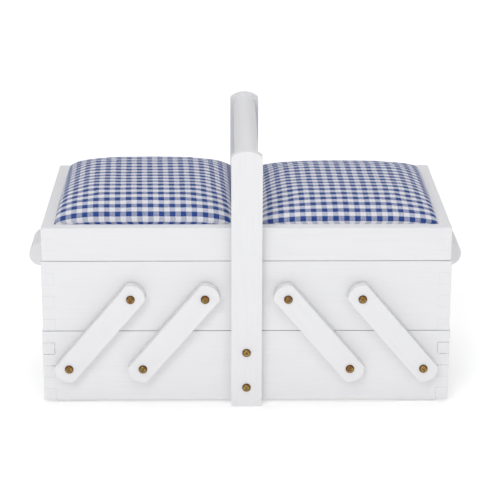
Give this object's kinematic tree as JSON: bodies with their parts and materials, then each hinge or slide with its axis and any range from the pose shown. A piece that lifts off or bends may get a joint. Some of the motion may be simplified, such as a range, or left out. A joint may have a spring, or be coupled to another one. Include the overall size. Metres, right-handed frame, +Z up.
{
  "type": "cantilever sewing box",
  "caption": "Wooden sewing box whose padded-lid trays swing out sideways on parallel arms from an open base under a fixed carrying handle.",
  "frame": {"origin": "centre of the box's footprint, on the surface it stands on", "axes": "+X to the right along the length, from one side pull to the other; +Y from the front to the back; +Z up"},
  "size_m": [0.441, 0.2464, 0.2625],
  "materials": {
    "white_paint": "satin paint over fine-grained wood",
    "plywood": "matt bare plywood",
    "gingham_fabric": "blue and white woven gingham cotton over wadding",
    "yellow_zinc": "yellow-passivated zinc, satin",
    "hinge_brass": "satin"
  },
  "bodies": {
    "base": {"base_front_panel": "white_paint", "base_back_panel": "white_paint", "base_left_end": "white_paint", "base_right_end": "white_paint", "base_floor": "plywood", "base_feet": "white_paint", "handle_front_upright": "white_paint", "handle_back_upright": "white_paint", "handle_crossbar": "white_paint", "handle_screws": "yellow_zinc", "base_pivot_screws": "yellow_zinc", "base_pivot_washers": "yellow_zinc"},
    "left_outer_arms": {"left_outer_front_arm": "white_paint", "left_outer_back_arm": "white_paint"},
    "left_inner_arms": {"left_inner_front_arm": "white_paint", "left_inner_back_arm": "white_paint"},
    "left_tray": {"left_tray_front_panel": "white_paint", "left_tray_back_panel": "white_paint", "left_tray_outer_end": "white_paint", "left_tray_inner_end": "white_paint", "left_tray_floor": "plywood", "left_tray_divider": "white_paint", "left_tray_pivot_screws": "yellow_zinc", "left_tray_pivot_washers": "yellow_zinc", "left_tray_pull": "white_paint", "left_tray_hinge_leaves": "hinge_brass", "left_tray_hinge_screws": "hinge_brass", "left_hinge_pins": "hinge_brass"},
    "left_lid": {"left_lid_front_rail": "white_paint", "left_lid_back_rail": "white_paint", "left_lid_outer_rail": "white_paint", "left_lid_inner_rail": "white_paint", "left_lid_panel": "plywood", "left_lid_cushion": "gingham_fabric", "left_lid_hinge_leaves": "hinge_brass", "left_lid_hinge_screws": "hinge_brass"},
    "right_outer_arms": {"right_outer_front_arm": "white_paint", "right_outer_back_arm": "white_paint"},
    "right_inner_arms": {"right_inner_front_arm": "white_paint", "right_inner_back_arm": "white_paint"},
    "right_tray": {"right_tray_front_panel": "white_paint", "right_tray_back_panel": "white_paint", "right_tray_outer_end": "white_paint", "right_tray_inner_end": "white_paint", "right_tray_floor": "plywood", "right_tray_divider": "white_paint", "right_tray_pivot_screws": "yellow_zinc", "right_tray_pivot_washers": "yellow_zinc", "right_tray_pull": "white_paint", "right_tray_hinge_leaves": "hinge_brass", "right_tray_hinge_screws": "hinge_brass", "right_hinge_pins": "hinge_brass"},
    "right_lid": {"right_lid_front_rail": "white_paint", "right_lid_back_rail": "white_paint", "right_lid_outer_rail": "white_paint", "right_lid_inner_rail": "white_paint", "right_lid_panel": "plywood", "right_lid_cushion": "gingham_fabric", "right_lid_hinge_leaves": "hinge_brass", "right_lid_hinge_screws": "hinge_brass"}
  },
  "joints": [
    {"name": "left_swing", "type": "hinge", "parent": "base", "child": "left_outer_arms", "pos_m": [-0.1745, 0, 0.0405], "axis": [0, -1, 0], "range_deg": [0, 80.2]},
    {"name": "left_inner_swing", "type": "hinge", "parent": "base", "child": "left_inner_arms", "pos_m": [-0.102, 0, 0.0405], "axis": [0, -1, 0], "range_deg": [0, 80.2]},
    {"name": "left_tray_level", "type": "hinge", "parent": "left_outer_arms", "child": "left_tray", "pos_m": [-0.113, 0, 0.1135], "axis": [0, -1, 0], "range_deg": [-80.2, 0]},
    {"name": "left_lid_hinge", "type": "hinge", "parent": "left_tray", "child": "left_lid", "pos_m": [-0.202, 0, 0.14925], "axis": [0, -1, 0], "range_deg": [0, 135]},
    {"name": "right_swing", "type": "hinge", "parent": "base", "child": "right_outer_arms", "pos_m": [0.1745, 0, 0.0405], "axis": [0, 1, 0], "range_deg": [0, 80.2]},
    {"name": "right_inner_swing", "type": "hinge", "parent": "base", "child": "right_inner_arms", "pos_m": [0.102, 0, 0.0405], "axis": [0, 1, 0], "range_deg": [0, 80.2]},
    {"name": "right_tray_level", "type": "hinge", "parent": "right_outer_arms", "child": "right_tray", "pos_m": [0.113, 0, 0.1135], "axis": [0, 1, 0], "range_deg": [-80.2, 0]},
    {"name": "right_lid_hinge", "type": "hinge", "parent": "right_tray", "child": "right_lid", "pos_m": [0.202, 0, 0.14925], "axis": [0, 1, 0], "range_deg": [0, 135]}
  ],
  "couplings": [
    {"joint": "left_inner_swing", "follows": "left_swing", "ratio": 1},
    {"joint": "left_tray_level", "follows": "left_swing", "ratio": -1},
    {"joint": "right_inner_swing", "follows": "right_swing", "ratio": 1},
    {"joint": "right_tray_level", "follows": "right_swing", "ratio": -1}
  ]
}
